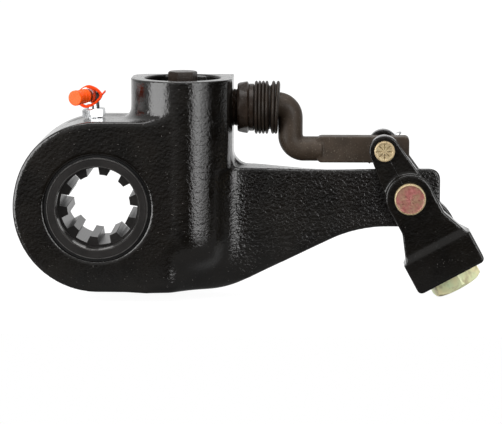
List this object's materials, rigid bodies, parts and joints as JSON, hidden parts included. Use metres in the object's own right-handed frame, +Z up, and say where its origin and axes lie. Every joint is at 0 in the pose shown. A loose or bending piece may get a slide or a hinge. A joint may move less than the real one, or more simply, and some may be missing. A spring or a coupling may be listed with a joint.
{
  "type": "brake slack adjuster",
  "caption": "Self-adjusting brake slack adjuster with a splined camshaft wheel and worm in a cast arm, a control link and a push rod clevis.",
  "frame": {"origin": "on the axis of the splined camshaft bore, level with the middle of the wheel teeth", "axes": "+X along the arm to the clevis, +Y along the camshaft bore, +Z up the worm shaft"},
  "size_m": [0.231, 0.0523, 0.1117],
  "materials": {
    "black_paint": "gloss black paint over rough cast iron",
    "black_oxide": "machined and black oxidised",
    "steel": "machined",
    "spring_steel": "hardened spring steel",
    "phosphated_steel": "dark brown phosphate",
    "bronze": "sintered bronze",
    "rubber": "matt",
    "yellow_zinc": "yellow passivated zinc",
    "bright_zinc": "bright zinc",
    "orange_plastic": "soft moulded plastic"
  },
  "bodies": {
    "housing": {"housing": "black_paint", "arm_bush": "bronze", "wheel_seal_front": "rubber", "wheel_seal_rear": "rubber", "rear_cover": "black_oxide", "rear_retaining_ring": "spring_steel", "lower_bush": "bronze", "upper_bearing": "steel", "top_cover": "black_oxide", "shaft_seal": "rubber", "top_retaining_ring": "spring_steel", "gland_nut": "phosphated_steel", "boot": "rubber", "grease_fitting": "bright_zinc", "cap_strap": "orange_plastic"},
    "wheel": {"worm_wheel": "black_oxide"},
    "worm": {"worm_shaft": "steel", "clutch_hub": "steel", "clutch_spring": "spring_steel", "thrust_washer": "steel", "adjuster_hex": "phosphated_steel"},
    "pinion": {"pinion": "steel"},
    "rack": {"rack": "steel", "rack_pin": "steel"},
    "clevis": {"clevis": "black_paint", "clevis_pin": "yellow_zinc", "link_pin": "yellow_zinc", "link_spacer": "steel", "clevis_washer": "yellow_zinc", "link_washer": "yellow_zinc", "clevis_cotter": "bright_zinc", "link_cotter": "bright_zinc"},
    "link": {"link_rod": "phosphated_steel"},
    "collar": {"push_rod_collar": "yellow_zinc"},
    "cap": {"grease_cap": "orange_plastic"}
  },
  "joints": [
    {"name": "wheel_turn", "type": "hinge", "parent": "housing", "child": "wheel", "pos_m": [0, 0, 0], "axis": [0, 1, 0], "continuous": true},
    {"name": "worm_turn", "type": "hinge", "parent": "housing", "child": "worm", "pos_m": [0.04072, 0, 0], "axis": [0, 0, 1], "continuous": true},
    {"name": "clevis_swing", "type": "hinge", "parent": "housing", "child": "clevis", "pos_m": [0.1524, 0, 0.0046], "axis": [0, 1, 0], "range_deg": [-5, 32]},
    {"name": "link_swing", "type": "hinge", "parent": "clevis", "child": "link", "pos_m": [0.1399, 0, 0.02763], "axis": [0, 1, 0], "range_deg": [-35, 6]},
    {"name": "rack_slide", "type": "slide", "parent": "housing", "child": "rack", "axis": [1, 0, 0], "range_m": [-0.0022, 0.0133], "deforming": ["boot"]},
    {"name": "pinion_turn", "type": "hinge", "parent": "housing", "child": "pinion", "pos_m": [0.04072, 0, 0.0468], "axis": [0, 0, 1], "range_deg": [-101, 16]},
    {"name": "collar_turn", "type": "hinge", "parent": "clevis", "child": "collar", "pos_m": [0.17006, 0, -0.02792], "axis": [0.4772, 0, -0.8788], "continuous": true},
    {"name": "cap_pull", "type": "slide", "parent": "housing", "child": "cap", "axis": [-0.4528, -0.891, -0.0332], "range_m": [0, 0.008], "deforming": ["cap_strap"]}
  ],
  "couplings": [
    {"joint": "worm_turn", "follows": "wheel_turn", "ratio": 24},
    {"joint": "link_swing", "follows": "clevis_swing", "ratio": -1.08},
    {"joint": "rack_slide", "follows": "clevis_swing", "m_per_rad": 0.0235},
    {"joint": "pinion_turn", "follows": "clevis_swing", "ratio": -3.1333}
  ]
}
